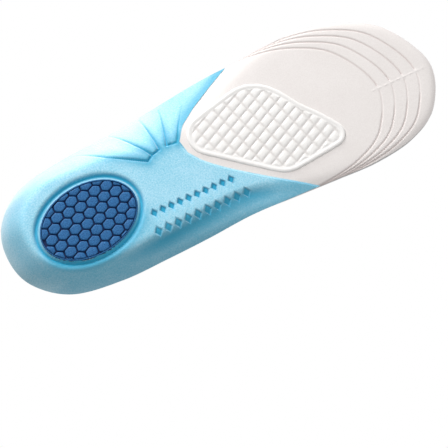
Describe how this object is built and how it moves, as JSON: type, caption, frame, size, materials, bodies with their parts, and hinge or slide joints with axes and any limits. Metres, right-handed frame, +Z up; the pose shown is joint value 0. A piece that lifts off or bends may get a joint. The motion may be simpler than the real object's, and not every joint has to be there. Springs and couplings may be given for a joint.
{
  "type": "cushioned insole",
  "caption": "Full-length cushioned shoe insole for the left foot, with a fabric footbed, heel cup, raised arch, gel heel pad and waffle forefoot pad.",
  "frame": {"origin": "centre of the bounding box, on the flat plane that the sole lies on", "axes": "+X from heel to toe, +Y towards the outer side of the foot, +Z up towards the wearer"},
  "size_m": [0.2842, 0.0964, 0.024],
  "materials": {
    "cover_knit": "fine white knitted mesh",
    "soft_foam": "soft white open-cell foam",
    "base_foam": "pale beige smooth foam board",
    "shell_foam": "sky-blue moulded foam with a fine grained skin",
    "gel": "navy satin gel",
    "pad_foam": "white embossed foam",
    "bond_film": "thin adhesive film"
  },
  "bodies": {
    "root": {"top_cover": "cover_knit", "cover_bond_film": "bond_film", "massage_foam": "soft_foam", "heel_cushion": "soft_foam", "base_foam": "base_foam", "shell_bond_film": "bond_film", "support_shell": "shell_foam", "heel_gel_pad": "gel", "gel_bond_film": "bond_film", "forefoot_pad": "pad_foam", "forefoot_bond_film": "bond_film"}
  },
  "joints": []
}
